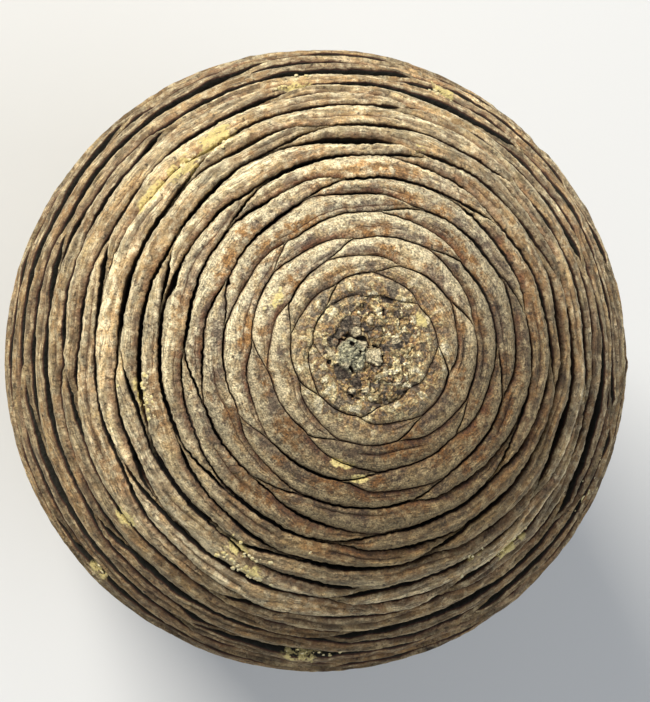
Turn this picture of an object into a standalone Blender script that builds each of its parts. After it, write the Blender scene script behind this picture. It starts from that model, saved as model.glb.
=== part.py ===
# A closed cedar cone, as picked: broad thin scales wound round the axis in a spiral, their free margins
# facing the tip, each one lapping over the scales nearer the tip. It stands upright on its cut stalk.
# The scales are raised from the cone's turned side: the side is walked down along meridians, each
# meridian dips into a groove at every margin that it crosses, and neighbouring meridians are stitched.

from collections import namedtuple
from math import cos, exp, floor, hypot, pi, radians, sin

import bpy
import numpy as np
from mathutils import Vector

MM = 0.001

# Driving dimensions in millimetres
CONE_RADIUS = 30.0
DOME_HEIGHT = 27.0
FLANK_HEIGHT = 29.0
FLANK_TAPER = 2.4
BASE_HEIGHT = 18.0
BASE_RADIUS = 9.0
STALK_RADIUS = 6.5
STALK_HEIGHT = 2.0

# The spiral: thirteen scales go eight times round the axis, each a longer step down the side than the last
SPIRAL_TURN = 360 * 8 / 13
FIRST_STEP = 0.40
STEP_GROWTH = 0.0058
PHASE_SCALE = 32
PHASE_ANGLE = 64.7
FIRST_SCALE = 5

# A scale's margin: half its width in degrees, and its shape in steps of the spiral
SPREAD = 60.0
MARGIN_ANGLE = 48.0
MARGIN_DROP = 3.0
MARGIN_TILT = 1.0
MARGIN_SHIFT = 0.3

# A scale's visible band: the parts of its width where its rounded rim starts and ends, and its relief
MERIDIANS = 36
RIM_START = 0.22
RIM_END = 0.74
THINNEST_BAND = 0.55
FULL_BAND = 1.7
RIM_ROUNDING = 0.12
TIP_GROOVE = 0.35
FULL_GROOVE = 1.1
FULL_GROOVE_ARC = 22.0

# What a stitch costs beyond its own length, so that each groove and rim runs on into the next meridian's
OTHER_KIND_COST = 0.5
OTHER_SCALE_COST = 0.35

Point = namedtuple("Point", "arc rise scale kind")


def side_points():
    """Radius and height down the side of the cone, from its tip to the stalk."""
    turn = np.linspace(0, pi / 2, 60)
    down = np.linspace(0, 1, 30)[1:-1]
    shoulder = STALK_HEIGHT + BASE_HEIGHT
    equator = shoulder + FLANK_HEIGHT
    foot = CONE_RADIUS - FLANK_TAPER
    reach = foot - BASE_RADIUS
    dome = np.column_stack([CONE_RADIUS * np.sin(turn), equator + DOME_HEIGHT * np.cos(turn)])
    flank = np.column_stack([CONE_RADIUS - FLANK_TAPER * down**2, equator - FLANK_HEIGHT * down])
    base = np.column_stack([BASE_RADIUS + reach * np.cos(turn), shoulder - BASE_HEIGHT * np.sin(turn)])
    return np.vstack([dome, flank, base])


SIDE = side_points()
ARCS = np.concatenate([[0], np.cumsum(np.linalg.norm(np.diff(SIDE, axis=0), axis=1))])
SIDE_LENGTH = float(ARCS[-1])


def on_side(arc):
    return np.interp(arc, ARCS, SIDE[:, 0]), np.interp(arc, ARCS, SIDE[:, 1])


def place(angle, arc, rise):
    """The point at an angle in degrees, an arc length down from the tip and a rise off the side."""
    radius, height = on_side(arc)
    near_radius, near_height = on_side(max(arc - 0.5, 0.0))
    far_radius, far_height = on_side(min(arc + 0.5, SIDE_LENGTH))
    run = far_radius - near_radius
    fall = near_height - far_height
    length = hypot(run, fall)
    radius += rise * fall / length
    height += rise * run / length
    return Vector((radius * cos(radians(angle)), radius * sin(radians(angle)), height)) * MM


def wobble(scale, kind):
    """A number from -1 to 1 that looks random and is the same each time."""
    value = sin(scale * 12.9898 + kind * 78.233) * 43758.5453
    return 2 * (value - floor(value)) - 1


def arc_of(scale):
    """How far down the side the middle of a scale's margin lies."""
    return FIRST_STEP / STEP_GROWTH * (exp(STEP_GROWTH * scale) - 1)


def angle_of(scale):
    return PHASE_ANGLE + SPIRAL_TURN * (scale - PHASE_SCALE) + 2 * wobble(scale, 4)


def margin_arc(scale, offset):
    """How far down the side a scale's margin lies, at an angle off the scale's middle."""
    step = FIRST_STEP + STEP_GROWTH * arc_of(scale)
    part = offset / MARGIN_ANGLE
    drop = (MARGIN_DROP + 0.4 * wobble(scale, 1)) * part**2
    tilt = (MARGIN_TILT + 0.3 * wobble(scale, 2)) * part
    return arc_of(scale) + step * (drop - tilt + MARGIN_SHIFT * wobble(scale, 3))


def all_scales():
    scale = FIRST_SCALE
    while arc_of(scale) < SIDE_LENGTH:
        yield scale
        scale += 1


def margins_seen(angle):
    """(arc, scale) of each margin seen down one meridian. A scale hides those nearer the tip."""
    crossed = []
    for scale in all_scales():
        offset = (angle - angle_of(scale) + 180) % 360 - 180
        if abs(offset) < SPREAD:
            crossed.append((margin_arc(scale, offset), scale))
    seen = []
    for arc, scale in sorted(crossed):
        if arc > SIDE_LENGTH - THINNEST_BAND or (seen and scale < seen[-1][1]):
            continue
        if seen and arc - seen[-1][0] < THINNEST_BAND:
            seen.pop()
        seen.append((arc, scale))
    return seen


def meridian(angle):
    """The points down one meridian below the tip: a groove at each margin, then the scale's rim."""
    seen = margins_seen(angle)
    points = [Point(0.6 * seen[0][0], 0.0, 0, "rim")]
    ends = [arc for arc, _ in seen[1:]] + [SIDE_LENGTH]
    for (arc, scale), end in zip(seen, ends):
        width = end - arc
        groove = TIP_GROOVE + (FULL_GROOVE - TIP_GROOVE) * min(arc / FULL_GROOVE_ARC, 1.0)
        sunk = groove * 0.8 * (1 - min(width / FULL_BAND, 1.0))
        points.append(Point(arc, -groove, scale, "groove"))
        points.append(Point(arc + RIM_START * width, -sunk, scale, "rim"))
        points.append(Point(arc + RIM_END * width, -sunk - RIM_ROUNDING, scale, "back"))
    points.append(Point(SIDE_LENGTH, 0.0, 0, "foot"))
    return points


def stitch_cost(near, far):
    cost = abs(near.arc - far.arc)
    if near.kind != far.kind:
        cost += OTHER_KIND_COST
    if near.scale != far.scale:
        cost += OTHER_SCALE_COST
    return cost


def stitches(near, far):
    """The cheapest row of triangles between two meridians, as steps: True moves down near, False down far."""
    costs = np.full((len(near), len(far)), np.inf)
    costs[0, 0] = 0.0
    for row in range(len(near)):
        for column in range(len(far)):
            above = costs[row - 1, column] if row else np.inf
            beside = costs[row, column - 1] if column else np.inf
            if row or column:
                costs[row, column] = min(above, beside) + stitch_cost(near[row], far[column])
    steps = []
    row = len(near) - 1
    column = len(far) - 1
    while row or column:
        down_near = not column or (row > 0 and costs[row - 1, column] <= costs[row, column - 1])
        steps.append(down_near)
        row -= down_near
        column -= not down_near
    return reversed(steps)


def cone_mesh():
    """Points and faces of the whole cone, with the stalk's two rings below its side."""
    angles = [360 * column / MERIDIANS for column in range(MERIDIANS)]
    meridians = [meridian(angle) for angle in angles]
    points = [place(0, 0, 0)]
    firsts = []
    for angle, down in zip(angles, meridians):
        firsts.append(len(points))
        points += [place(angle, point.arc, point.rise) for point in down]
        around = Vector((cos(radians(angle)), sin(radians(angle)), 0)) * STALK_RADIUS * MM
        points += [around + Vector((0, 0, STALK_HEIGHT * MM)), around]
    faces = []
    for column, near in enumerate(meridians):
        following = (column + 1) % MERIDIANS
        far = meridians[following]
        row = firsts[column]
        other = firsts[following]
        faces.append((0, row, other))
        for down_near in stitches(near, far):
            if down_near:
                faces.append((row, row + 1, other))
                row += 1
            else:
                faces.append((row, other + 1, other))
                other += 1
        faces.append((row, row + 1, other + 1, other))
        faces.append((row + 1, row + 2, other + 2, other + 1))
    faces.append([first + len(down) + 1 for first, down in zip(firsts, meridians)][::-1])
    return points, faces


def weathered_wood():
    material = bpy.data.materials.new("weathered cone scales")
    material.use_nodes = True
    principled = material.node_tree.nodes["Principled BSDF"]
    principled.inputs["Base Color"].default_value = (0.30, 0.20, 0.11, 1.0)
    principled.inputs["Roughness"].default_value = 0.85
    principled.inputs["Metallic"].default_value = 0.0
    return material


def main():
    for old in list(bpy.data.objects):
        bpy.data.objects.remove(old)
    mesh = bpy.data.meshes.new("cone")
    points, faces = cone_mesh()
    mesh.from_pydata(points, [], faces)
    mesh.materials.append(weathered_wood())
    bpy.context.scene.collection.objects.link(bpy.data.objects.new("cone", mesh))


main()
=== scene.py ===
from math import cos, exp, floor, pi, radians, sin

import bpy
import numpy as np
from mathutils import Matrix, Vector, noise


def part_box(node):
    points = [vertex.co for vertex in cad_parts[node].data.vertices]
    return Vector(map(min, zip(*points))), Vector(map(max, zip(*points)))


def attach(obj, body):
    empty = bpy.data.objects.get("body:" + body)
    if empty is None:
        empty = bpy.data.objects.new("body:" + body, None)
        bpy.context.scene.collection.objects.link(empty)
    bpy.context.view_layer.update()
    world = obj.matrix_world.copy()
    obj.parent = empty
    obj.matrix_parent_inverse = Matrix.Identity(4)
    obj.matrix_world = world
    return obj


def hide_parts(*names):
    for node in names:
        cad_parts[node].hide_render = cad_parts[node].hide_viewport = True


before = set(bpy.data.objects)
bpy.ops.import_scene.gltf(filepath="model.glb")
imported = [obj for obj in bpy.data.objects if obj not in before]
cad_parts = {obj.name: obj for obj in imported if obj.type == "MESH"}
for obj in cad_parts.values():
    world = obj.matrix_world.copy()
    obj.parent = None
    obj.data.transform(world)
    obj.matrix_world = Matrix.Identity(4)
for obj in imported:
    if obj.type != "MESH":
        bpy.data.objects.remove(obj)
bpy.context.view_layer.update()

mm = 0.001
lowCorner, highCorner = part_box("cone")


# The cone's turned side and the spiral of its scales, as the frame has them, in millimetres and degrees
cone = {
    "radius": (highCorner[0] - lowCorner[0]) / 2 / mm,
    "height": highCorner[2] / mm,
    "domeShare": 27 / 76,  # of the height, from the widest place up to the tip
    "baseShare": 18 / 76,  # of the height, where the side rounds in to the stalk
    "flankTaper": 2.4,
    "baseRadius": 9.0,
    "stalkRadius": 6.5,
    "stalkHeight": 2.0,
}
spiral = {
    "turn": 360 * 8 / 13,
    "firstStep": 0.395,
    "stepGrowth": 0.0060,
    "phaseScale": 32,
    "phaseAngle": 64.7,
    "firstScale": 8,
    "offCentre": (0.8, 350.0),  # the rings lie that many mm towards that angle
    "offCentreArcs": (4.0, 9.0, 24.0, 36.0),  # growing between the first two arcs, fading between the last
}
margin = {
    "spread": 62.0,
    "angle": 48.0,
    "shift": 0.3,
    # Degrees off the middle and steps down: a small hump, a flat side, a steep corner and a slow slope
    "profile": ((-62, 6.5), (-55, 3.65), (-50, 2.9), (-45, 2.1), (-40, 1.15), (-35, 0.65), (-30, 0.5),
                (-20, 0.55), (-10, 0.45), (-3, 0.2), (0, 0.0), (4, 0.2), (8, 0.7), (12, 1.25), (20, 1.6),
                (30, 1.75), (40, 2.3), (45, 2.7), (50, 3.1), (56, 4.1), (62, 6.5)),
    "rounding": 2.5,  # degrees over which the profile's corners are rounded
    "flatNearTip": (0.75, 12.0),  # the profile's height at the tip, and the mm down the side where it is full
    "dropVaries": 0.4,  # steps, from scale to scale
    "tiltVaries": 0.3,
    "wave": (4.5, 0.12, 0.5),  # size and height of its slow waves, and the step at which they are that high
    "nibble": (0.9, 0.09),
    "nibbleGrows": (0.5, 0.9, 20, 30),  # share near the tip and added further out, between those arcs
    "fray": (0.35, 0.13),  # torn fibres, away from the tip
    "frayFrom": (7.0, 8.0),  # mm down the side, and the mm over which it sets in
}
# Large factors that scatter a sine, for numbers that look random and are the same each time
scatter = {
    "scale": 12.9898,
    "kind": 78.233,
    "firstCell": (127.1, 311.7),
    "otherCell": (269.5, 183.3),
    "size": 43758.5453,
}


def sidePoints():
    turn = np.linspace(0, pi / 2, 60)
    down = np.linspace(0, 1, 30)[1:-1]
    dome = cone["height"] * cone["domeShare"]
    base = cone["height"] * cone["baseShare"]
    shoulder = cone["stalkHeight"] + base
    equator = cone["height"] - dome
    foot = cone["radius"] - cone["flankTaper"]
    reach = foot - cone["baseRadius"]
    top = np.column_stack([cone["radius"] * np.sin(turn), equator + dome * np.cos(turn)])
    flankRadii = cone["radius"] - cone["flankTaper"] * down**2
    flank = np.column_stack([flankRadii, equator - (equator - shoulder) * down])
    bottom = np.column_stack([cone["baseRadius"] + reach * np.cos(turn), shoulder - base * np.sin(turn)])
    return np.vstack([top, flank, bottom])


side = sidePoints()
sideArcs = np.concatenate([[0], np.cumsum(np.linalg.norm(np.diff(side, axis=0), axis=1))])
sideLength = float(sideArcs[-1])


def placeAll(angles, arcs, rises):
    # Points in millimetres at angles in degrees, arc lengths down from the tip and rises off the side
    arcs = np.clip(arcs, 0, sideLength)
    near = np.maximum(arcs - 0.5, 0)
    far = np.minimum(arcs + 0.5, sideLength)
    run = np.interp(far, sideArcs, side[:, 0]) - np.interp(near, sideArcs, side[:, 0])
    fall = np.interp(near, sideArcs, side[:, 1]) - np.interp(far, sideArcs, side[:, 1])
    length = np.hypot(run, fall)
    radius = np.interp(arcs, sideArcs, side[:, 0]) + rises * fall / length
    height = np.interp(arcs, sideArcs, side[:, 1]) + rises * run / length
    turn = np.radians(angles)
    return np.stack([radius * np.cos(turn), radius * np.sin(turn), height], axis=-1)


def wobble(scale, kind):
    # A number from -1 to 1 for that scale and use
    value = sin(scale * scatter["scale"] + kind * scatter["kind"]) * scatter["size"]
    return 2 * (value - floor(value)) - 1


def noiseAt(points, size, seed):
    # Smooth noise from about -1 to 1, with lumps of that size in millimetres
    shift = Vector((seed * 17.31, seed * 5.77, seed * 9.13))
    flat = points.reshape(-1, 3) / size
    values = [noise.noise(Vector(point) + shift) for point in flat]
    return np.array(values).reshape(points.shape[:-1])


def fraction(values):
    return values - np.floor(values)


def crumbsAt(points, size, seed):
    # Scattered cells seen from above: about how far in millimetres a point is from its cell's edge, and a
    # number from 0 to 1 that is the cell's own
    flat = points[..., :2] / size
    grid = np.floor(flat)
    nearest = np.full(flat.shape[:-1], 9.0)
    second = nearest.copy()
    kind = np.zeros(flat.shape[:-1])
    for across in (-1, 0, 1):
        for along in (-1, 0, 1):
            cell = grid + (across, along)
            first = fraction(np.sin(cell @ np.array(scatter["firstCell"]) + seed) * scatter["size"])
            other = fraction(np.sin(cell @ np.array(scatter["otherCell"]) + seed) * scatter["size"])
            distance = np.linalg.norm(cell + np.stack([first, other], axis=-1) - flat, axis=-1)
            nearer = distance < nearest
            second = np.where(nearer, nearest, np.minimum(second, distance))
            kind = np.where(nearer, fraction(first * 7.7 + other * 3.1), kind)
            nearest = np.where(nearer, distance, nearest)
    return (second - nearest) * size, kind


def smooth(values, low, high):
    share = np.clip((values - low) / (high - low), 0, 1)
    return share * share * (3 - 2 * share)


def arcOf(scale):
    return spiral["firstStep"] / spiral["stepGrowth"] * (exp(spiral["stepGrowth"] * scale) - 1)


def stepOf(scale):
    return spiral["firstStep"] + spiral["stepGrowth"] * arcOf(scale)


def angleOf(scale):
    return spiral["phaseAngle"] + spiral["turn"] * (scale - spiral["phaseScale"]) + 2 * wobble(scale, 4)


# Every margin on a ring of meridians half a degree apart, as an arc length from the tip
meridianStep = 0.5
meridians = np.arange(0, 360, meridianStep)
scales = [number for number in range(spiral["firstScale"], 400) if arcOf(number) < sideLength]


def marginRow(scale):
    offsets = (meridians - angleOf(scale) + 180) % 360 - 180
    part = offsets / margin["angle"]
    around = np.linspace(-margin["rounding"], margin["rounding"], 5)
    steps = np.mean([np.interp(offsets + turn, *zip(*margin["profile"])) for turn in around], axis=0)
    low, full = margin["flatNearTip"]
    steps = steps * (low + (1 - low) * min(arcOf(scale) / full, 1))
    steps = steps + margin["dropVaries"] * wobble(scale, 1) * part**2
    steps = steps - margin["tiltVaries"] * wobble(scale, 2) * part
    arcs = arcOf(scale) + stepOf(scale) * (steps + margin["shift"] * wobble(scale, 3))
    moved, towards = spiral["offCentre"]
    growFrom, growTo, fadeFrom, fadeTo = spiral["offCentreArcs"]
    moved = moved * smooth(arcs, growFrom, growTo) * (1 - smooth(arcs, fadeFrom, fadeTo))
    arcs = arcs + moved * np.cos(np.radians(meridians - towards))
    inside = np.abs(offsets) < margin["spread"]
    row = np.full(len(meridians), np.inf)
    points = placeAll(meridians[inside], arcs[inside], 0)
    size, height, fullStep = margin["wave"]
    arcs = arcs[inside] + height * stepOf(scale) / fullStep * noiseAt(points, size, scale)
    size, height = margin["nibble"]
    least, added, growFrom, growTo = margin["nibbleGrows"]
    arcs += height * noiseAt(points, size, scale + 0.5) * (least + added * smooth(arcs, growFrom, growTo))
    size, height = margin["fray"]
    frayFrom, frayOver = margin["frayFrom"]
    arcs += height * noiseAt(points, size, scale + 0.25) * np.clip((arcs - frayFrom) / frayOver, 0, 1)
    row[inside] = arcs
    return row


margins = np.array([marginRow(scale) for scale in scales])
hidingMargins = np.vstack([margins[1:], np.full((1, len(meridians)), sideLength)])
hidingMargins = np.minimum.accumulate(np.minimum(hidingMargins, sideLength)[::-1], axis=0)[::-1]
print("margins of", len(scales), "scales")


# One function turns sRGB hex to linear
def linear(hexColour):
    channels = [int(hexColour[start:start + 2], 16) / 255 for start in (1, 3, 5)]
    return tuple(c / 12.92 if c <= 0.04045 else ((c + 0.055) / 1.055) ** 2.4 for c in channels) + (1.0,)


def addNode(tree, kind, inputs=None, **settings):
    # An input is a value or another node's output
    node = tree.nodes.new(kind)
    for name, value in settings.items():
        setattr(node, name, value)
    for socket, value in (inputs or {}).items():
        if isinstance(value, bpy.types.NodeSocket):
            tree.links.new(value, node.inputs[socket])
        else:
            node.inputs[socket].default_value = value
    return node


def emptyMaterial(name):
    material = bpy.data.materials.new(name)
    material.use_nodes = True
    material.node_tree.nodes.clear()
    return material, material.node_tree


def perMetre(size):
    return 1 / (size * mm)  # a noise scale for lumps of that size in millimetres


# Cone scale wood: grown, dried on the tree and weathered. The eye sees a dry, matt grey-cream skin with
# brown and violet-grey stains and fine dark grit, worn pale on the lips and red-brown to black in the gaps.
# The gaps' red-brown is partly the inner faces' own colour and partly painted shade, and their black is
# painted shade. Grime with painted shade darkens the side away from the key light.
scaleWood = {
    "cream": "#cfbb90",
    "tan": "#a58f69",
    "stain": "#ab7d44",
    "violet": "#736459",
    "limb": "#bda778",
    "pale": "#f2e6bf",
    "pit": "#33241a",
    "lip": "#7b5136",
    # Multiplied in as grime and painted shade, darker on the side away from the key light
    "grimeAndShade": "#a39172",
    # Painted shade in the gaps, by painted depth: red-brown at their edges, partly the inner faces' own
    # colour, and near-black deeper in
    "gapEdge": "#4a2a1a",
    "gap": "#201e12",
    "lichen": "#e2d08b",
    "nub": "#b8b697",
    "crumbs": ((0.02, "#33271e"), (0.16, "#655a4b"), (0.31, "#8b7f68"), (0.42, "#7f5e43"), (0.54, "#b99a62"),
               (0.66, "#a5906b"), (0.80, "#dac890"), (0.94, "#f0e5c0")),
    # Stains: seed, size in mm, noise where the edge starts and ends, most, share left on the open flank
    "stains": {
        "violet": (2.0, 1.6, 0.47, 0.65, 0.8, 0.5),
        "stain": (1.0, 3.0, 0.49, 0.65, 0.9, 0.45),
        "pale": (3.0, 0.7, 0.45, 0.66, 0.8, 0.8),
    },
    "stainEdge": (5.0, 0.65),  # detail and roughness of the noise
    "stainPull": 0.13,  # how much likelier a stain is where it is painted
    "stainFades": (0.2, 0.9),  # openness between which it fades
    # Patterns: size in mm and seed of the noise, with its detail and roughness where they aren't the usual
    # ones, then the noise from and to, and the strength from and to where it isn't 0 to 1
    "patterns": {
        "base": ((4.0, 9.0), (0.38, 0.62)),
        "limb": ((3.0, 10.0), (0.4, 0.6, 0.0, 0.6)),
        "lip": ((0.8, 6.0), (0.35, 0.6, 0.4, 0.95)),
        "pits": ((0.45, 4.0, 4.0), (0.56, 0.66)),
        "flecks": ((0.24, 16.0, 4.0, 0.7), (0.36, 0.62, 0.42, 1.6)),
        "nubFlecks": ((0.4, 15.0, 4.0, 0.7), (0.4, 0.6, 0.22, 1.6)),
        "grit": ((0.17, 5.0, 3.0, 0.7), (0.32, 0.68, 0.36, 1.38)),  # coarser than real dust, so that it shows
        "fibreShown": ((3.0, 11.0), (0.4, 0.6, 0.1, 0.8)),
        "lichen": ((0.8, 8.0, 5.0), (0.3, 0.6)),
        "lichenGrain": ((0.3, 13.0), (0.35, 0.5, 0.35, 1.0)),
    },
    # What changes on the open flank: openness from and to, strength from and to
    "onFlank": {
        "lip": (0.3, 1.0, 1.0, 0.65),
        "bleached": (0.0, 1.0, 1.0, 1.16),
        "grit": (0.1, 0.9, 1.0, 0.5),
        "streak": (0.0, 0.8, 0.35, 1.0),
    },
    # Size across and along the scale in mm, noise from and to, strength from and to. Real fibres are under
    # 0.05 mm across, and these are drawn coarser, so that they show.
    "fibre": ((0.14, 1.6), (0.32, 0.68, 0.5, 1.3)),
    "streak": ((0.5, 2.6), (0.34, 0.66, 0.63, 1.28)),
    "tones": (0.85, 1.12),  # of the darkest and the palest scale
    "grimeAndShadeMost": 0.85,
    "pitsMost": 0.7,
    "crumbNoises": ((1.7, 12.0, 4.0), (0.5, 14.0, 4.0)),  # size in mm, seed and detail
    "crumbMix": (0.55, 0.3, 0.4, 0.9),  # share of the small noise, the crumb's own share, the sum from and to
    "gapDepths": {"gapEdge": (0.15, 0.45), "gap": (0.4, 0.75)},  # painted depth from and to, over which the gaps' painted shade sets in
    "lichenEdge": (0.25, 0.45),
    "lumps": (0.5, 7.0, 4.0),  # size in mm, seed and detail of the lumps in the bump
    "lumpShare": 2.0,  # beside the grit's 1
    "roughness": 0.82,
    "ior": 1.5,
    "bump": 0.27,  # mm
}


def scaleWoodMaterial():
    material, tree = emptyMaterial("cedar scale wood, grown, weathered, with painted shade")
    look = scaleWood
    place = addNode(tree, "ShaderNodeTexCoord").outputs["Object"]

    def between(value, low, high, start=0.0, end=1.0):
        limits = {"From Min": low, "From Max": high, "To Min": start, "To Max": end}
        return addNode(tree, "ShaderNodeMapRange", {"Value": value, **limits},
                       interpolation_type="SMOOTHSTEP").outputs["Result"]

    def field(size, seed, detail=3.0, rough=0.6):
        inputs = {"Vector": place, "W": seed, "Scale": perMetre(size), "Detail": detail, "Roughness": rough}
        return addNode(tree, "ShaderNodeTexNoise", inputs, noise_dimensions="4D").outputs["Fac"]

    def over(below, colour, amount, blend="MIX"):
        top = linear(colour) if isinstance(colour, str) else colour
        return addNode(tree, "ShaderNodeMix", {0: amount, 6: below, 7: top}, data_type="RGBA",
                       blend_type=blend).outputs[2]

    def times(first, second):
        return addNode(tree, "ShaderNodeMath", {0: first, 1: second}, operation="MULTIPLY").outputs[0]

    def painted(name):
        return addNode(tree, "ShaderNodeAttribute", attribute_name=name).outputs["Fac"]

    def pattern(name):
        noiseSettings, limits = look["patterns"][name]
        return between(field(*noiseSettings), *limits)

    def onFlank(name):
        return between(painted("open"), *look["onFlank"][name])

    def patches(name, seed, size, low, high, most, left):
        # A stain is likeliest where it is painted, its edge is ragged, and it fades on the flank
        inputs = {0: painted(name), 1: look["stainPull"], 2: field(size, seed, *look["stainEdge"])}
        likely = addNode(tree, "ShaderNodeMath", inputs, operation="MULTIPLY_ADD").outputs[0]
        shown = between(likely, low, high, 0.0, most)
        return times(shown, between(painted("open"), *look["stainFades"], 1.0, left))

    colour = over(linear(look["cream"]), look["tan"], pattern("base"))
    colour = over(colour, look["limb"], times(painted("open"), pattern("limb")))
    for name, settings in look["stains"].items():
        colour = over(colour, look[name], patches(name, *settings))
    lipShown = times(pattern("lip"), onFlank("lip"))
    colour = over(colour, look["lip"], times(painted("lip"), lipShown))
    tone = between(painted("tone"), -1.0, 1.0, *look["tones"])
    colour = over(colour, tone, 1.0, "MULTIPLY")
    colour = over(colour, onFlank("bleached"), 1.0, "MULTIPLY")
    # Grime and painted shade, multiplied in where they are painted
    grimeAndShade = between(painted("grimeAndShade"), 0.0, 1.0, 0.0, look["grimeAndShadeMost"])
    colour = over(colour, look["grimeAndShade"], grimeAndShade, "MULTIPLY")
    colour = over(colour, look["pit"], times(pattern("pits"), look["pitsMost"]))

    large, small = look["crumbNoises"]
    smallShare, ownShare, low, high = look["crumbMix"]
    mixed = addNode(tree, "ShaderNodeMix", {0: smallShare, 2: field(*large), 3: field(*small)})
    mixed = addNode(tree, "ShaderNodeMath", {0: painted("kind"), 1: ownShare, 2: mixed.outputs[0]},
                    operation="MULTIPLY_ADD").outputs[0]
    crumbs = addNode(tree, "ShaderNodeValToRGB", {"Fac": between(mixed, low, high)})
    ramp = crumbs.color_ramp
    for _ in look["crumbs"][2:]:
        ramp.elements.new(0.5)
    for element, (position, hexColour) in zip(ramp.elements, look["crumbs"]):
        element.position = position
        element.color = linear(hexColour)
    colour = over(colour, crumbs.outputs["Color"], painted("crumbly"))
    colour = over(colour, pattern("flecks"), painted("crumbly"), "MULTIPLY")
    colour = over(colour, look["nub"], painted("nub"))
    colour = over(colour, pattern("nubFlecks"), painted("nub"), "MULTIPLY")

    gritSettings, gritLimits = look["patterns"]["grit"]
    grit = field(*gritSettings)
    gritShown = onFlank("grit")
    colour = over(colour, between(grit, *gritLimits), gritShown, "MULTIPLY")
    acrossAlong = addNode(tree, "ShaderNodeUVMap", uv_map="across").outputs["UV"]

    def drawnOut(name):
        # Noise stretched along the scale
        (across, along), limits = look[name]
        inputs = {"Vector": acrossAlong, "Scale": (1 / along, 1 / across, 1)}
        vector = addNode(tree, "ShaderNodeMapping", inputs).outputs["Vector"]
        inputs = {"Vector": vector, "Scale": 1.0, "Detail": 3.0}
        drawn = addNode(tree, "ShaderNodeTexNoise", inputs, noise_dimensions="2D").outputs["Fac"]
        return between(drawn, *limits)

    fibreShown = pattern("fibreShown")
    colour = over(colour, drawnOut("fibre"), fibreShown, "MULTIPLY")
    streakShown = onFlank("streak")
    colour = over(colour, drawnOut("streak"), streakShown, "MULTIPLY")

    # Painted shade in the gaps: red-brown at their edges, near-black deeper down
    depth = painted("depth")
    for name, limits in look["gapDepths"].items():
        colour = over(colour, look[name], between(depth, *limits))
    lichen = between(times(painted("lichen"), pattern("lichen")), *look["lichenEdge"])
    colour = over(colour, look["lichen"], times(lichen, pattern("lichenGrain")))

    lumps = times(field(*look["lumps"]), look["lumpShare"])
    heights = addNode(tree, "ShaderNodeMath", {0: lumps, 1: grit}, operation="ADD").outputs[0]
    inputs = {"Strength": 1.0, "Distance": look["bump"] * mm, "Height": heights}
    bump = addNode(tree, "ShaderNodeBump", inputs)
    surface = addNode(tree, "ShaderNodeBsdfPrincipled", {"Base Color": colour, "Roughness": look["roughness"],
                      "IOR": look["ior"], "Metallic": 0.0, "Normal": bump.outputs["Normal"]})
    addNode(tree, "ShaderNodeOutputMaterial", {"Surface": surface.outputs["BSDF"]})
    return material


def addPiece(name, points, faces, material, painted=None, acrossAlong=None):
    mesh = bpy.data.meshes.new(name)
    mesh.from_pydata(points * mm, [], faces)
    for key, values in (painted or {}).items():
        mesh.attributes.new(key, "FLOAT", "POINT").data.foreach_set("value", values.astype(np.float32))
    if acrossAlong is not None:
        layer = mesh.uv_layers.new(name="across")
        corners = np.empty(len(mesh.loops), np.int32)
        mesh.loops.foreach_get("vertex_index", corners)
        layer.data.foreach_set("uv", acrossAlong[corners].astype(np.float32).ravel())
    mesh.shade_smooth()
    mesh.materials.append(material)
    piece = bpy.data.objects.new(name, mesh)
    bpy.context.scene.collection.objects.link(piece)
    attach(piece, "root")
    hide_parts("cone")
    print(name, len(points), "points", sum(len(face) - 2 for face in faces), "triangles")
    return piece


# Places seen in the photograph: degrees round the cone, millimetres down its side, half sizes in degrees
# and in millimetres, strength
lichens = (
    (123, 25.8, 6, 1.0, 1.1),
    (133, 25.3, 6, 1.1, 1.1),
    (142, 25.7, 6, 0.9, 1.0),
    (101, 30.5, 5, 0.8, 0.8),
    (68, 33.2, 3, 1.0, 0.7),
    (216.5, 29.2, 3.2, 1.1, 1.0),
    (223, 40.6, 2.4, 1.0, 0.8),
    (245, 23.9, 3, 0.7, 0.9),
    (152.5, 9.1, 6, 0.45, 1.0),
    (28, 5.3, 9, 0.6, 1.0),
    (257, 10.4, 7, 0.5, 0.9),
    (266, 11.6, 5, 0.45, 0.9),
    (310, 26.7, 7, 1.3, 0.7),
    (301, 24.0, 5, 0.8, 0.6),
    (239, 22.5, 4, 0.6, 0.9),
    (192.5, 21.4, 8, 1.0, 0.62),
    (264, 36.1, 5, 0.8, 0.6),
    (72, 21.0, 2, 0.7, 0.6),
)
gaps = (
    (91, 20.9, 9, 1.2, 1.0),
    (120, 24.1, 5, 0.9, 0.8),
    (154.5, 14.5, 1.2, 0.5, 0.8),
    (161, 19.8, 4, 1.0, 0.7),
    (171, 28.5, 12, 1.6, 0.6),
    (8, 25.0, 25, 4.0, 0.35),
    (7, 20.8, 9, 0.9, 0.9),
    (358, 22.4, 10, 0.9, 0.9),
    (357, 27.6, 14, 1.0, 1.0),
    (17, 27.2, 7, 0.9, 0.9),
    (31, 22.3, 9, 1.0, 0.9),
    (339, 23.2, 9, 1.2, 0.9),
    (346, 29.4, 8, 1.1, 0.8),
    (210, 25.6, 8, 1.3, 0.6),
    (60, 30.0, 12, 2.0, 0.5),
)
knobs = ((359, 36.8, 1.6, 0.9, 0.45), (69, 32.6, 2.2, 0.7, 0.35), (263, 36.5, 2.0, 0.8, 0.3))
# The rough pale nub beside the axis and the square lobe on it, in millimetres
nub = {"place": (-1.55, -0.55), "radius": 1.4, "rise": 0.16, "lobe": (0.25, -0.75), "lobeHalf": (0.62, 0.68)}


def blobs(points, arcs, places):
    turn = np.degrees(np.arctan2(points[..., 1], points[..., 0]))
    amount = np.zeros(arcs.shape)
    for angle, arc, halfTurn, halfArc, strength in places:
        away = ((turn - angle + 180) % 360 - 180) / halfTurn
        amount = np.maximum(amount, strength * np.exp(-(away**2) - ((arcs - arc) / halfArc) ** 2))
    return amount


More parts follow.
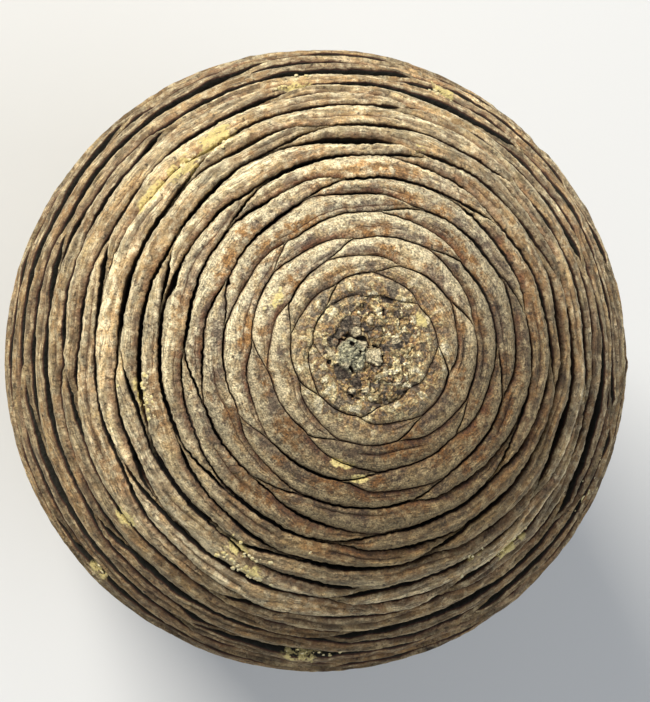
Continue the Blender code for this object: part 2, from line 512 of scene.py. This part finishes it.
# One closed strip for each scale: up its front wall, over the lip and the rounded band, down under the next.
# Near the tip the bands lie close together. On the flank each one leans back from a lip that stands proud.
scaleShape = {
    "leanFrom": (8.0, 25.0),  # mm down the side, where the tip's section turns into the flank's
    # The gap between a band's back and the next lip, in mm, at those mm down the side
    "gap": ((6, 12, 18, 24, 34), (0.06, 0.12, 0.2, 0.26, 0.38)),
    "gapSize": (4.0, 1.1),  # length in mm of its wider and narrower stretches, and by what share
    # The share by which gaps are wider at angle 0 and narrower across from it, growing between those arcs
    "gapTurned": (0.45, 18, 25),
    "opening": (0.7, 0.8),  # at a gap seen in the photograph: mm wider, and share that its band leans more
    # The rise of the whole scale, in mm, at those mm down the side
    "flare": ((22, 30, 39, 46), (0.0, -0.65, 0.2, 0.0)),
    "flareTurned": 3.0,  # mm that the flare lies nearer the tip at angle 0, and further down across from it
    "backSize": (5.0, 0.6),  # length in mm and share of the changes in how far a band leans back
    "backOuter": (0.5, 26, 36),  # share that outer bands lean back more, growing between those arcs
    "lipSize": (3.0, 0.22),  # length and depth in mm of the dips along a lip
    "fullBand": 1.5,  # mm: a narrower band sinks under its neighbours
    "groove": (0.35, 1.1),  # mm deep, at the tip and on the flank
    "grooveShare": 0.8,  # how much of that depth a very narrow band sinks
    # Right of its middle a scale shows its front edge: how wide and how deep, in mm, and the degrees off
    # the middle between which it sets in and ends
    "wall": (0.24, 0.22),
    "wallTurns": (0, 7, 28, 44),
    "tuck": (11.0, 0.08),  # degrees that a scale's ends run on under its neighbour, and mm down for each
    # The splits along a band: their length, their depth and the step down before them, in mm
    "crease": (6.0, 0.35, 0.13),
    "creaseShare": 0.3,  # of the band, where the splits are
    "relief": ((3.2, 0.09), (0.9, 0.055), (0.35, 0.055)),  # size and height in mm of the surface's own lumps
    "crumbly": (9.0, 5.5),  # mm down the side: crumbs fade in towards the tip
    "outerShade": (20, 32, 0.45, 0.75),  # between those arcs: the gaps' painted shade added at the lip and at the back
    "darkestSide": 300,  # degrees round the cone, where the scales round the tip are darkest: grime and painted shade, away from the key light
    "crumbSize": 0.7,
    "crumbRelief": 0.12,
    "stain": 13.0,  # degrees either side of the middle
}
# Share of the band, mm beyond it (tip, flank), rise (tip, flank), lip, depth painted as shade and crease
# painted
sectionRows = (
    (0.00, 0.45, 1.50, -1.50, -2.50, 0.0, 1.0, 0.0),
    (0.00, 0.20, 0.75, -1.00, -1.60, 0.0, 1.0, 0.0),
    (0.00, 0.04, 0.30, -0.52, -0.90, 0.0, 0.8, 0.0),
    (0.00, 0.00, 0.05, -0.30, -0.42, 0.7, 0.4, 0.0),
    (0.00, 0.00, 0.00, -0.17, -0.18, 1.0, 0.0, 0.0),
    (0.03, 0.00, 0.00, -0.08, -0.05, 1.0, 0.0, 0.0),
    (0.09, 0.00, 0.00, -0.03, 0.00, 0.5, 0.0, 0.0),
    (0.25, 0.00, 0.00, 0.00, 0.00, 0.0, 0.0, 0.2),
    (0.28, 0.00, 0.00, 0.00, 0.00, 0.0, 0.0, 1.0),
    (0.31, 0.00, 0.00, 0.00, 0.00, 0.0, 0.0, 0.0),
    (0.50, 0.00, 0.00, -0.01, -0.04, 0.0, 0.0, 0.0),
    (0.66, 0.00, 0.00, -0.05, -0.13, 0.0, 0.0, 0.0),
    (0.80, 0.00, 0.00, -0.13, -0.35, 0.0, 0.0, 0.0),
    (0.91, 0.00, 0.00, -0.27, -0.70, 0.0, 0.1, 0.0),
    (1.00, 0.00, 0.00, -0.48, -1.15, 0.0, 0.4, 0.0),
    (1.00, 0.12, 0.40, -0.90, -1.80, 0.0, 0.9, 0.0),
    (1.00, 0.50, 0.90, -1.50, -2.50, 0.0, 1.0, 0.0),
)


def blend(pair, lean):
    return pair[0] + (pair[1] - pair[0]) * lean


def flareAt(arcs, angles):
    turned = arcs + scaleShape["flareTurned"] * np.cos(np.radians(angles))
    return np.interp(turned, *scaleShape["flare"])


def scaleStrip(index, stride):
    scale = scales[index]
    row = margins[index]
    width = hidingMargins[index] - row
    offsets = (meridians - angleOf(scale) + 180) % 360 - 180
    seen = np.where(np.isfinite(row) & (width > 0.02) & (row < sideLength - 0.3))[0]
    if len(seen) < 3 * stride:
        return None
    order = np.argsort(offsets)
    tucked, slope = scaleShape["tuck"]
    past = np.maximum(offsets[seen].min() - offsets, offsets - offsets[seen].max())
    order = order[np.isfinite(row[order]) & (past[order] <= tucked)][::stride]
    start = row[order]
    wide = np.maximum(hidingMargins[index][order] - start, 0.03)
    angles = meridians[order]
    ground = placeAll(angles, start, 0)
    groundEnd = placeAll(angles, start + wide, 0)
    lean = smooth(start, *scaleShape["leanFrom"])
    opening = blobs(groundEnd, start + wide, gaps)
    size, share = scaleShape["gapSize"]
    turned, fadeFrom, fadeTo = scaleShape["gapTurned"]
    turned = 1 + turned * np.cos(np.radians(angles)) * smooth(start, fadeFrom, fadeTo)
    gap = np.interp(start, *scaleShape["gap"]) * (1 + share * noiseAt(groundEnd, size, 90.5)) * turned
    wider, leansMore = scaleShape["opening"]
    gap = gap + wider * opening
    band = wide - np.clip(gap, 0.03, 0.5 * wide)
    size, share = scaleShape["backSize"]
    outerMore, growFrom, growTo = scaleShape["backOuter"]
    leanBack = 1 + share * noiseAt(ground, size, scale + 3.3) + leansMore * opening
    leanBack = leanBack + outerMore * smooth(start, growFrom, growTo)
    size, depth = scaleShape["lipSize"]
    lipSunk = depth * (0.5 + noiseAt(ground, size, scale + 7.7)) * lean
    narrow = 1 - np.clip(wide / scaleShape["fullBand"], 0, 1)
    groove = blend(scaleShape["groove"], lean)
    sunk = scaleShape["grooveShare"] * narrow * groove + slope * np.maximum(past[order], 0)
    share, beyondTip, beyondFlank, riseTip, riseFlank, lip, dark, crease = [
        np.array(column)[:, None] for column in zip(*sectionRows)]
    length, creaseDepth, step = scaleShape["crease"]
    split = smooth(noiseAt(ground, length, scale + 11.3), -0.02, 0.2) * smooth(start, 4, 9) * (1 - narrow)
    wander = 1 + 0.7 * noiseAt(ground, 1.4 * length, scale + 12.1)
    arcs = start + share**wander * band + blend((beyondTip, beyondFlank), lean)
    front = share < scaleShape["creaseShare"]
    back = (share > scaleShape["creaseShare"]) & (share < 1)
    rises = blend((riseTip, riseFlank), lean)
    rises = np.where(np.abs(rises) < 1.1, rises * (1 - 0.6 * narrow), rises)
    rises = rises * np.where(back | (share == 1), leanBack, 1) - np.where(front, lipSunk, 0) - sunk
    rises = rises - split * (step * (share < 0.26) + creaseDepth * crease) + flareAt(start, angles)
    middle = offsets[order]
    wallStart, wallFull, wallFades, wallEnd = scaleShape["wallTurns"]
    wall = smooth(middle, wallStart, wallFull) * (1 - smooth(middle, wallFades, wallEnd)) * (1 - narrow)
    wallWide, wallDeep = scaleShape["wall"]
    upWall = np.clip(share / 0.12, 0, 1)
    arcs = arcs + np.where(share < 0.2, wall * wallWide * upWall * (share > 0), 0)
    rises = rises - np.where(share < 0.2, wall * wallDeep * (1 - upWall), 0)
    everyAngle = np.broadcast_to(angles, arcs.shape)
    points = placeAll(everyAngle, arcs, rises)
    exposed = (dark < 0.6) * np.ones(arcs.shape)
    for lump, (size, height) in enumerate(scaleShape["relief"]):
        rises = rises + exposed * height * noiseAt(points, size, 30 + lump + 0.37 * scale)
    rises = rises + exposed * blobs(points, arcs, knobs)
    crumbly = smooth(-arcs, *(-limit for limit in scaleShape["crumbly"]))
    edge, kind = crumbsAt(points, scaleShape["crumbSize"], 2.0)
    rises = rises + exposed * crumbly * scaleShape["crumbRelief"] * (kind - 0.5 - 0.8 * (edge < 0.06))
    points = placeAll(everyAngle, arcs, rises)
    along = np.radians(offsets[order]) * np.hypot(ground[:, 0], ground[:, 1])
    # Grime and painted shade: near the tip darker on the side away from the key light, and on the outline
    # darker towards the bottom and the left
    grimeAndShade = 0.5 + 0.5 * smooth(arcs, 0, 14) * np.cos(np.radians(everyAngle - scaleShape["darkestSide"]))
    outline = 0.3 - 0.12 * np.sin(np.radians(everyAngle)) - 0.1 * np.cos(np.radians(everyAngle))
    grimeAndShade = grimeAndShade * (1 - 0.65 * smooth(arcs, 18, 28)) + outline * smooth(arcs, 25, 30)
    # Towards the cone's outline only the lips show, so a gap's painted shade reaches further up its two sides
    darkFrom, darkTo, atLip, atBack = scaleShape["outerShade"]
    outer = smooth(start, darkFrom, darkTo) * (atLip * (share < 0.02) + atBack * smooth(share, 0.72, 1.0))
    upper = 1 - smooth(share, 0.3, 0.7)
    left = smooth(middle, -52, -38) * (1 - smooth(middle, -15, -5)) + 0.5 * smooth(middle, 8, 20)
    painted = {
        "lip": np.maximum(lip * (0.25 + 0.75 * wall), 0.9 * crease * split),
        "stain": np.exp(-(middle / scaleShape["stain"]) ** 2) * upper,
        "violet": left * upper,
        "pale": smooth(share, 0.35, 0.75) * (1 - smooth(share, 0.95, 1.0)),
        # Painted shade: how far the gaps' red-brown and near-black reach
        "depth": np.clip(np.maximum(dark, 0.4 * crease * split) + outer, 0, 1),
        "open": np.broadcast_to(lean, arcs.shape),
        "tone": np.full(arcs.shape, wobble(scale, 7)),
        "grimeAndShade": grimeAndShade,
        "crumbly": 0.75 * crumbly * exposed,
        "kind": kind,
        "nub": np.zeros(arcs.shape),
        "lichen": blobs(points, arcs, lichens),
    }
    painted = {key: np.broadcast_to(values, arcs.shape) for key, values in painted.items()}
    acrossAlong = np.stack([np.broadcast_to(along, arcs.shape), arcs - start + scale * 3.1], axis=-1)
    return points, acrossAlong, painted


def stripFaces(rows, columns, start):
    faces = []
    for row in range(rows):
        below = (row + 1) % rows
        for column in range(columns - 1):
            near = start + row * columns + column
            far = start + below * columns + column
            faces.append((near, near + 1, far + 1, far))
    faces.append([start + row * columns for row in range(rows)])
    faces.append([start + row * columns + columns - 1 for row in range(rows)][::-1])
    return faces


def ringQuads(rings, columns):
    # Quads between closed rings of points
    faces = []
    for ring in range(rings - 1):
        near = ring * columns
        far = near + columns
        for column in range(columns):
            following = (column + 1) % columns
            faces.append((near + column, far + column, far + following, near + following))
    return faces


def makeScales(name, indices, stride, material):
    points = []
    acrossAlong = []
    painted = {}
    faces = []
    count = 0
    for index in indices:
        strip = scaleStrip(index, stride)
        if strip is None:
            continue
        shape, uv, attributes = strip
        faces += stripFaces(shape.shape[0], shape.shape[1], count)
        points.append(shape.reshape(-1, 3))
        acrossAlong.append(uv.reshape(-1, 2))
        for key, values in attributes.items():
            painted.setdefault(key, []).append(values.reshape(-1))
        count += shape.shape[0] * shape.shape[1]
    painted = {key: np.concatenate(values) for key, values in painted.items()}
    return addPiece(name, np.vstack(points), faces, material, painted, np.vstack(acrossAlong))


scaleMaterial = scaleWoodMaterial()
# The scales of each piece, from one number to before another, and how many half degrees apart the points
# along them are
groups = {
    "tipScales": (0, 34, 2),
    "innerScales": (34, 51, 1),
    "shoulderScales": (51, 68, 1),
    "outerScales": (68, 88, 2),
    "flankScales": (88, 112, 3),
    "baseScales": (112, 400, 4),
}
for name, (first, end, stride) in groups.items():
    indices = [index for index, scale in enumerate(scales) if first <= scale < end]
    makeScales(name, indices, stride, scaleMaterial)


# The tip: the youngest scales are fused under a broken crust, round a pale rough nub
crust = {
    "reach": 6.2,
    "rings": 84,
    "columns": 260,
    "crumbs": ((0.95, 0.34, 2.0), (0.42, 0.14, 5.0)),  # size and relief in mm, seed
    "warps": ((0.8, 0.35), (0.28, 0.16)),
    # Pale crumbs seen round the nub: place, half length and half width in mm, turn in degrees
    "paleCrumbs": ((-3.6, -0.3, 0.95, 0.24, -57), (-1.35, 1.45, 0.5, 0.34, 40), (2.25, 0.6, 0.4, 0.3, 0),
                   (-0.45, -3.7, 0.3, 0.25, 0), (-1.6, -3.75, 0.3, 0.2, 20), (-4.0, -3.1, 0.36, 0.2, -30),
                   (-0.7, 0.28, 0.65, 0.17, -37), (-4.8, -0.3, 0.2, 0.35, 0), (-3.66, 2.6, 0.6, 0.22, 60),
                   (-0.1, 2.35, 0.32, 0.26, 0), (-2.2, -1.5, 0.28, 0.24, 0), (1.3, -2.1, 0.25, 0.42, 0),
                   (0.6, -2.4, 0.35, 0.16, 0), (2.35, -3.0, 0.4, 0.2, 20)),
    # And holes in it and beside it, sunk and coloured near-black as painted shade
    "holes": ((-1.4, 1.0, 0.95, 0.15, -8), (-1.63, 0.32, 0.2, 0.15, 0), (-1.0, -0.37, 0.22, 0.12, 60),
              (-1.7, -1.82, 0.35, 0.12, -45), (1.09, -0.89, 0.4, 0.08, 90), (0.35, 0.15, 0.35, 0.14, -30),
              (-3.57, -1.25, 0.22, 0.22, 0), (-1.65, -4.2, 0.3, 0.2, 0), (1.1, 3.1, 0.12, 0.3, 0)),
    "crackHalf": 0.07,  # mm: half the width of a crack between crumbs
}


def spots(flat, places):
    # How far a point is inside any of the ellipses, from 0 to 1
    amount = np.zeros(flat.shape[:-1])
    for x, y, halfLength, halfWidth, turn in places:
        reach = flat[..., :2] - (x, y)
        along = reach @ (cos(radians(turn)), sin(radians(turn)))
        across = reach @ (-sin(radians(turn)), cos(radians(turn)))
        amount = np.maximum(amount, smooth(-np.hypot(along / halfLength, across / halfWidth), -1.15, -0.85))
    return amount


def makeCrust():
    arcs, angles = np.meshgrid(np.linspace(0.04, crust["reach"], crust["rings"]),
                               np.arange(crust["columns"]) * 360 / crust["columns"], indexing="ij")
    flat = placeAll(angles, arcs, 0)
    warped = flat.copy()
    for turn, (size, height) in enumerate(crust["warps"]):
        warped[..., 0] += height * noiseAt(flat, size, 60 + 4 * turn)
        warped[..., 1] += height * noiseAt(flat, size, 61 + 4 * turn)
    rises = -0.12 - 0.75 * smooth(arcs, 3.8, crust["reach"])
    kinds = []
    for size, relief, seed in crust["crumbs"]:
        edge, kind = crumbsAt(warped, size, seed)
        seam = np.exp(-(edge / crust["crackHalf"]) ** 2) * (kind > 0.3)
        rises = rises + relief * (kind - 0.5) - relief * seam
        kinds.append(kind)
    away = warped[..., :2] - nub["place"]
    distance = np.linalg.norm(away, axis=-1)
    bearing = np.degrees(np.arctan2(away[..., 1], away[..., 0])) % 360
    nubMask = smooth(-distance, -nub["radius"] - 0.18, -nub["radius"] + 0.18)
    lobe = np.abs(warped[..., :2] - nub["lobe"]) - nub["lobeHalf"]
    lobeMask = smooth(-lobe.max(axis=-1), -0.08, 0.08)
    above = smooth(bearing, 15, 50) * smooth(-bearing, -170, -120)
    crack = np.exp(-((distance - nub["radius"] - 0.18) / 0.12) ** 2) * (0.2 + 0.8 * above)
    crack = np.maximum(crack * (1 - lobeMask), 0.6 * np.exp(-((lobe.max(axis=-1) - 0.08) / 0.06) ** 2))
    halfWarped = (flat + warped) / 2
    pale = spots(halfWarped, crust["paleCrumbs"])
    crack = np.maximum(crack, spots(halfWarped, crust["holes"]) * (1 - pale))
    raised = nub["rise"] * np.maximum(nubMask, 0.8 * lobeMask)
    rises = rises * (1 - 0.3 * np.maximum(nubMask, lobeMask)) + raised
    rises = rises - 0.5 * crack + 0.14 * pale + (0.12 + 0.18 * nubMask) * noiseAt(flat, 0.28, 62)
    rises = rises + 0.1 * noiseAt(flat, 0.7, 63)
    points = placeAll(angles, arcs, np.minimum(rises, 0.25))
    points = np.vstack([points.reshape(-1, 3), placeAll(np.zeros(1), np.full(1, 0.0), rises[:1, 0])])
    rings, columns = crust["rings"], crust["columns"]
    faces = ringQuads(rings, columns)
    faces += [(rings * columns, column, (column + 1) % columns) for column in range(columns)]
    kind = np.where(fraction(kinds[0] * 9.1) < 0.45, kinds[1], kinds[0])
    painted = dict.fromkeys(("lip", "open", "tone", "stain", "violet"), np.zeros(arcs.shape))
    painted.update({
        "pale": 1.5 * np.maximum(lobeMask, pale),
        # Painted shade: the cracks and holes take the gaps' near-black
        "depth": np.clip(0.8 * crack, 0, 1),
        # Darkened all round the crust, less towards its bottom
        "grimeAndShade": 0.3 * np.minimum(1 + np.sin(np.radians(angles)), 1),
        "crumbly": 1 - np.maximum(np.maximum(nubMask, lobeMask), 0.85 * pale),
        "kind": kind,
        "nub": 0.85 * nubMask * (1 - np.maximum(lobeMask, 0.8 * pale)),
        "lichen": blobs(flat, arcs, lichens),
    })
    painted = {key: np.append(values.ravel(), values[0, 0]) for key, values in painted.items()}
    return addPiece("tipCrust", points, faces, scaleMaterial, painted, points[:, :2])


makeCrust()


# Dried lichen in pale crumbs, most of them on the yellow patches. The eye sees matt, chalky yellow-cream
# grains.
lichenCrumbs = {
    "yellow": "#cabb80",
    "cream": "#cdc29b",
    "colourSize": 0.5,  # mm
    "roughness": 0.9,
    "halfSize": (0.07, 0.21),  # mm
    "sunk": 0.04,  # mm into the scale
    "scattered": 0.7,  # share of the half sizes that the crumbs mostly keep within
    "onFace": (0.28, 0.4),  # share of a band where the crumbs start, and over how much of it they lie
    "flatness": 0.38,
    "rough": 0.45,  # share of a crumb's size
    "sides": 9,
    "rings": 4,
    "narrowest": 0.9,  # mm: crumbs lie on wider bands alone
    # Degrees round, mm down, their half sizes, number of crumbs
    "places": ((216.5, 29.3, 2.0, 0.7, 18), (223, 40.3, 1.8, 0.6, 10), (245, 23.6, 3, 0.7, 30),
               (239, 22.5, 3, 0.7, 30), (192.5, 21.4, 6, 0.8, 24), (127, 25.5, 7, 0.9, 26),
               (100.5, 30.4, 3, 0.5, 14), (69, 32.6, 2.2, 0.6, 12), (264, 35.5, 6, 1.2, 14),
               (311, 26, 5, 0.8, 26), (301, 24, 5, 0.8, 18), (256, 19.4, 0.3, 0.1, 2),
               (153, 9.2, 5, 0.25, 10), (330, 33, 6, 1.5, 10)),
}


def lichenMaterial():
    material, tree = emptyMaterial("lichen, dried in crumbs")
    look = lichenCrumbs
    place = addNode(tree, "ShaderNodeTexCoord").outputs["Object"]
    patch = addNode(tree, "ShaderNodeTexNoise", {"Vector": place, "Scale": perMetre(look["colourSize"])})
    inputs = {"Value": patch.outputs["Fac"], "From Min": 0.4, "From Max": 0.6}
    share = addNode(tree, "ShaderNodeMapRange", inputs)
    inputs = {0: share.outputs["Result"], 6: linear(look["yellow"]), 7: linear(look["cream"])}
    colour = addNode(tree, "ShaderNodeMix", inputs, data_type="RGBA").outputs[2]
    inputs = {"Base Color": colour, "Roughness": look["roughness"]}
    surface = addNode(tree, "ShaderNodeBsdfPrincipled", inputs)
    addNode(tree, "ShaderNodeOutputMaterial", {"Surface": surface.outputs["BSDF"]})
    return material


def onBand(angle, arc):
    # The arc moved on to the face of the scale that is seen there, or None on a narrow band
    column = round(angle / meridianStep) % len(meridians)
    tops = margins[:, column]
    seen = np.where((tops <= arc) & (hidingMargins[:, column] > arc))[0]
    if not len(seen):
        return None
    top = tops[seen[-1]]
    wide = hidingMargins[seen[-1], column] - top
    if wide < lichenCrumbs["narrowest"]:
        return None
    start, over = lichenCrumbs["onFace"]
    return top + wide * (start + over * fraction(3.7 * (arc - top) / wide))


def ball(sides, rings):
    turn = np.linspace(0, 2 * pi, sides, endpoint=False)
    points = [(0, 0, 1)]
    for tilt in np.linspace(0, pi, rings + 2)[1:-1]:
        points += [(sin(tilt) * cos(a), sin(tilt) * sin(a), cos(tilt)) for a in turn]
    points.append((0, 0, -1))
    last = len(points) - 1
    faces = []
    for column in range(sides):
        following = (column + 1) % sides
        faces.append((0, 1 + column, 1 + following))
        for ring in range(rings - 1):
            near = 1 + ring * sides
            faces.append((near + column, near + sides + column, near + sides + following, near + following))
        near = last - sides
        faces.append((near + column, last, near + following))
    return np.array(points), faces


def makeLichenCrumbs():
    draws = np.random.default_rng(11)
    scattered = lichenCrumbs["scattered"]
    shape, shapeFaces = ball(lichenCrumbs["sides"], lichenCrumbs["rings"])
    points = []
    faces = []
    for angle, arc, halfTurn, halfArc, number in lichenCrumbs["places"]:
        for _ in range(number):
            turn = angle + scattered * halfTurn * draws.standard_normal()
            half = draws.uniform(*lichenCrumbs["halfSize"])
            rough = 1 + lichenCrumbs["rough"] * draws.uniform(-1, 1, len(shape))
            down = onBand(turn, arc + scattered * halfArc * draws.standard_normal())
            if down is None:
                continue
            rise = flareAt(down, turn) - lichenCrumbs["sunk"]
            centre, outer, beside = placeAll(np.array([turn, turn, turn + 1]), np.full(3, down),
                                             np.array([rise, rise + 1, rise]))
            out = outer - centre
            around = (beside - centre) / np.linalg.norm(beside - centre)
            axes = np.array([around, np.cross(out, around), out * lichenCrumbs["flatness"]])
            faces += [tuple(corner + len(points) * len(shape) for corner in face) for face in shapeFaces]
            points.append(centre + half * (shape * rough[:, None]) @ axes)
    return addPiece("lichenCrumbs", np.vstack(points), faces, lichenMaterial())


makeLichenCrumbs()


# The dark body behind the gaps, and the cut stalk below it, coloured near-black as painted shade. Of both,
# the eye sees only a brown-black shade.
core = {
    "colour": "#120b07",
    "roughness": 0.9,
    "firstArc": 0.3,  # mm down the side
    "tipDepth": 1.3,  # mm under the side, under the crust
    "tipReach": 7,  # mm down the side, to where it lies that deep
    "depth": 2.0,  # mm, further down
    "sides": 96,
    "rings": 70,
}
stalk = {
    "radiusShares": (0.98, 1.0, 1.0, 1.0),
    "heights": (3.5, 2.0, 0.3, 0.0),  # mm
    "sides": 64,
}


def plainMaterial(name, hexColour, roughness):
    material, tree = emptyMaterial(name)
    inputs = {"Base Color": linear(hexColour), "Roughness": roughness}
    surface = addNode(tree, "ShaderNodeBsdfPrincipled", inputs)
    addNode(tree, "ShaderNodeOutputMaterial", {"Surface": surface.outputs["BSDF"]})
    return material


def makeTurned(name, radii, heights, sides, material):
    turn = np.linspace(0, 2 * pi, sides, endpoint=False)
    points = []
    for radius, height in zip(radii, heights):
        points += [(radius * cos(a), radius * sin(a), height) for a in turn]
    faces = ringQuads(len(radii), sides)
    faces.append(list(range(sides)))
    faces.append(list(range((len(radii) - 1) * sides, len(radii) * sides))[::-1])
    return addPiece(name, np.array(points), faces, material)


coreArcs = np.linspace(core["firstArc"], sideLength, core["rings"])
coreRises = flareAt(coreArcs, 90) - core["depth"]
coreRises = np.where(coreArcs < core["tipReach"], -core["tipDepth"], coreRises)
corePlace = placeAll(np.zeros(core["rings"]), coreArcs, coreRises)
darkRoots = plainMaterial("scale roots, near-black as painted shade", core["colour"], core["roughness"])
makeTurned("rootsAndAxis", corePlace[:, 0], corePlace[:, 2], core["sides"], darkRoots)
stalkRadii = [cone["stalkRadius"] * share for share in stalk["radiusShares"]]
makeTurned("cutStalk", stalkRadii, stalk["heights"], stalk["sides"], darkRoots)


# A plain pale floor, and soft light from the upper left of the photograph. Half sides, places and sizes are
# in metres.
board = {"half": 1.5, "colour": "#c9cbcb", "roughness": 0.7}


def makeFloor():
    mesh = bpy.data.meshes.new("floor")
    half = board["half"]
    corners = [(-half, -half, 0), (half, -half, 0), (half, half, 0), (-half, half, 0)]
    mesh.from_pydata(corners, [], [(0, 1, 2, 3)])
    mesh.materials.append(plainMaterial("painted board, rolled", board["colour"], board["roughness"]))
    floor = bpy.data.objects.new("floor", mesh)
    bpy.context.scene.collection.objects.link(floor)


lights = {
    "key": {"place": (-0.42, 0.55, 0.62), "size": 0.38, "power": 13.2, "colour": "#fff8ee"},
    "fill": {"place": (0.5, -0.25, 0.6), "size": 0.7, "power": 2.8, "colour": "#f2f5ff"},
}
studio = {"aimShare": 0.7, "colour": "#e8ecf0", "strength": 0.45}  # the lamps aim at that share of the height


def makeLights():
    target = Vector((0, 0, cone["height"] * mm * studio["aimShare"]))
    for name, light in lights.items():
        data = bpy.data.lights.new(name, "AREA")
        data.size = light["size"]
        data.energy = light["power"]
        data.color = linear(light["colour"])[:3]
        lamp = bpy.data.objects.new(name, data)
        lamp.location = light["place"]
        lamp.rotation_euler = (target - lamp.location).to_track_quat("-Z", "Y").to_euler()
        bpy.context.scene.collection.objects.link(lamp)
    world = bpy.data.worlds.new("studio")
    bpy.context.scene.world = world
    world.use_nodes = True
    background = world.node_tree.nodes["Background"]
    background.inputs["Color"].default_value = linear(studio["colour"])
    background.inputs["Strength"].default_value = studio["strength"]
    bpy.context.scene.view_settings.view_transform = "Standard"


# The photograph looks down the cone's axis, a little from one side
cameraView = {
    "leanX": 10.17,  # degrees off the axis
    "leanY": 2.46,
    "distance": 230.0,  # mm
    "targetX": 0.79,
    "targetY": 0.89,
    "lens": 120.9,
}


def makeCamera():
    away = Vector((-sin(radians(cameraView["leanX"])), -sin(radians(cameraView["leanY"])), 0))
    away.z = (1 - away.length_squared) ** 0.5
    equator = cone["height"] * (1 - cone["domeShare"])
    target = Vector((cameraView["targetX"], cameraView["targetY"], equator)) * mm
    up = (Vector((0, 1, 0)) - away * away.y).normalized()
    right = up.cross(away)
    data = bpy.data.cameras.new("camera")
    data.lens = cameraView["lens"]
    data.clip_start = 0.01
    camera = bpy.data.objects.new("camera", data)
    camera.matrix_world = Matrix((right, up, away)).transposed().to_4x4()
    camera.location = target + away * cameraView["distance"] * mm
    bpy.context.scene.collection.objects.link(camera)
    bpy.context.scene.camera = camera


makeFloor()
makeLights()
makeCamera()
print("floor, lights and camera")
